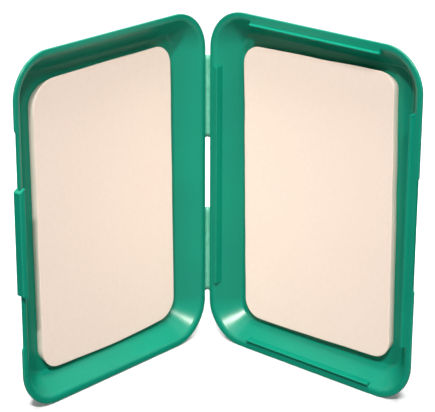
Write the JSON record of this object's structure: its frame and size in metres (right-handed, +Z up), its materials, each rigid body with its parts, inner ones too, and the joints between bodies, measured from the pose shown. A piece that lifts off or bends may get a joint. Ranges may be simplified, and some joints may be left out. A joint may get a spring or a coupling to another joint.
{
  "type": "wet palette",
  "caption": "Clamshell wet palette: two shallow moulded trays joined by film hinges and closed by a snap latch, each holding a damp foam pad under palette paper.",
  "frame": {"origin": "centre of the footprint at the level of the surface on which the open palette stands", "axes": "+Z up along the hinge line; the base lies along +X from the hinge with its inside facing -Y, and the lid along -Y with its inside facing +X"},
  "size_m": [0.1612, 0.1624, 0.2],
  "materials": {
    "green_polypropylene": "satin",
    "thin_polypropylene": "satin",
    "cream_foam": "matte",
    "palette_paper": "matte"
  },
  "bodies": {
    "base": {"base_tray": "green_polypropylene", "lower_hinge_film": "thin_polypropylene", "upper_hinge_film": "thin_polypropylene"},
    "lid": {"lid_tray": "green_polypropylene"},
    "latch": {"snap_latch": "green_polypropylene"},
    "base_pad": {"base_foam_pad": "cream_foam"},
    "lid_pad": {"lid_foam_pad": "cream_foam"},
    "base_paper": {"base_palette_paper": "palette_paper"},
    "lid_paper": {"lid_palette_paper": "palette_paper"}
  },
  "joints": [
    {"name": "lid_hinge", "type": "hinge", "parent": "base", "child": "lid", "pos_m": [-0.06603, 0.0666, 0.1], "axis": [0, 0, -1], "range_deg": [-90, 90], "deforming": ["lower_hinge_film", "upper_hinge_film"]},
    {"name": "latch_flex", "type": "hinge", "parent": "lid", "child": "latch", "pos_m": [-0.06682, -0.07907, 0.1], "axis": [0, 0, -1], "range_deg": [0, 36], "stiffness_Nm_per_rad": 0.15},
    {"name": "base_pad_lift", "type": "slide", "parent": "base", "child": "base_pad", "axis": [0, -1, 0], "range_m": [0, 0.04]},
    {"name": "lid_pad_lift", "type": "slide", "parent": "lid", "child": "lid_pad", "axis": [1, 0, 0], "range_m": [0, 0.04]},
    {"name": "base_paper_lift", "type": "slide", "parent": "base_pad", "child": "base_paper", "axis": [0, -1, 0], "range_m": [0, 0.025]},
    {"name": "lid_paper_lift", "type": "slide", "parent": "lid_pad", "child": "lid_paper", "axis": [1, 0, 0], "range_m": [0, 0.025]}
  ]
}
